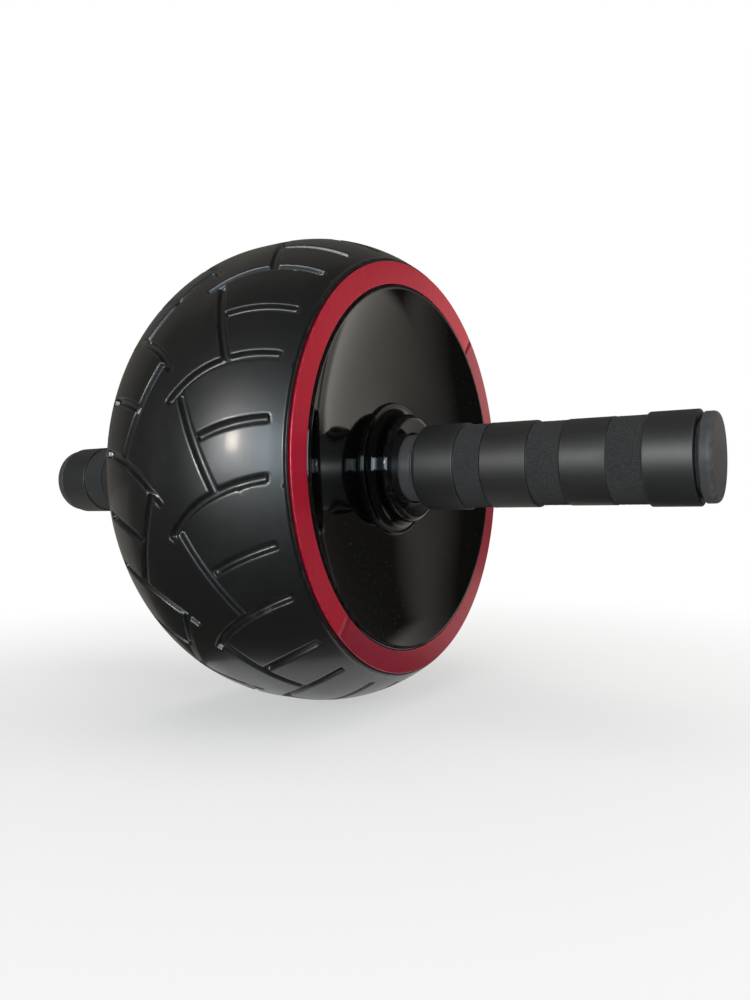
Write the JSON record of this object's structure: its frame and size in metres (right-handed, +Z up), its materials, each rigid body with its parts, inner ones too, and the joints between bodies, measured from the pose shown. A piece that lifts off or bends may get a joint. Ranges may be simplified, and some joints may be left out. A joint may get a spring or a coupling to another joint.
{
  "type": "ab wheel roller",
  "caption": "Wide barrel-shaped ab wheel with a grooved rubber tread, dished glossy sides, red trim rings and banded foam handles on a bearing-mounted axle.",
  "frame": {"origin": "centre of the wheel, on the axle's axis", "axes": "+Y along the axle towards the right handle, +Z up, +X towards the front, where the wheel rolls to"},
  "size_m": [0.19, 0.3158, 0.19],
  "materials": {
    "tyre_rubber": "satin moulded rubber",
    "drum_plastic": "plain moulded plastic",
    "cover_gloss": "polished black plastic",
    "trim_red": "metallic red film",
    "bearing_steel": "ground bearing steel",
    "cage_steel": "pressed steel sheet",
    "axle_steel": "drawn steel bar",
    "fastener_steel": "zinc plated steel",
    "core_plastic": "satin grey moulded plastic",
    "grip_foam": "closed-cell foam with smooth and ground bands",
    "cap_plastic": "satin black moulded plastic"
  },
  "bodies": {
    "axle_and_handles": {"axle": "axle_steel", "spacer_sleeve": "axle_steel", "bearing_inner_ring_right": "bearing_steel", "handle_core_right": "core_plastic", "foam_grip_right": "grip_foam", "handle_washer_right": "fastener_steel", "handle_bolt_right": "fastener_steel", "end_cap_right": "cap_plastic", "bearing_inner_ring_left": "bearing_steel", "handle_core_left": "core_plastic", "foam_grip_left": "grip_foam", "handle_washer_left": "fastener_steel", "handle_bolt_left": "fastener_steel", "end_cap_left": "cap_plastic"},
    "wheel": {"tyre": "tyre_rubber", "drum_left": "drum_plastic", "drum_right": "drum_plastic", "drum_screws": "fastener_steel", "cover_right": "cover_gloss", "cover_screws_right": "fastener_steel", "trim_front_right": "trim_red", "trim_rear_right": "trim_red", "bearing_outer_ring_right": "bearing_steel", "bearing_shields_right": "cage_steel", "cover_left": "cover_gloss", "cover_screws_left": "fastener_steel", "trim_front_left": "trim_red", "trim_rear_left": "trim_red", "bearing_outer_ring_left": "bearing_steel", "bearing_shields_left": "cage_steel"},
    "ball_cages": {"bearing_balls_right": "bearing_steel", "bearing_cage_right": "cage_steel", "bearing_balls_left": "bearing_steel", "bearing_cage_left": "cage_steel"}
  },
  "joints": [
    {"name": "wheel_spin", "type": "hinge", "parent": "axle_and_handles", "child": "wheel", "pos_m": [0, 0, 0], "axis": [0, 1, 0], "continuous": true},
    {"name": "cage_spin", "type": "hinge", "parent": "axle_and_handles", "child": "ball_cages", "pos_m": [0, 0, 0], "axis": [0, 1, 0], "continuous": true}
  ],
  "couplings": [
    {"joint": "cage_spin", "follows": "wheel_spin", "ratio": 0.6192}
  ]
}
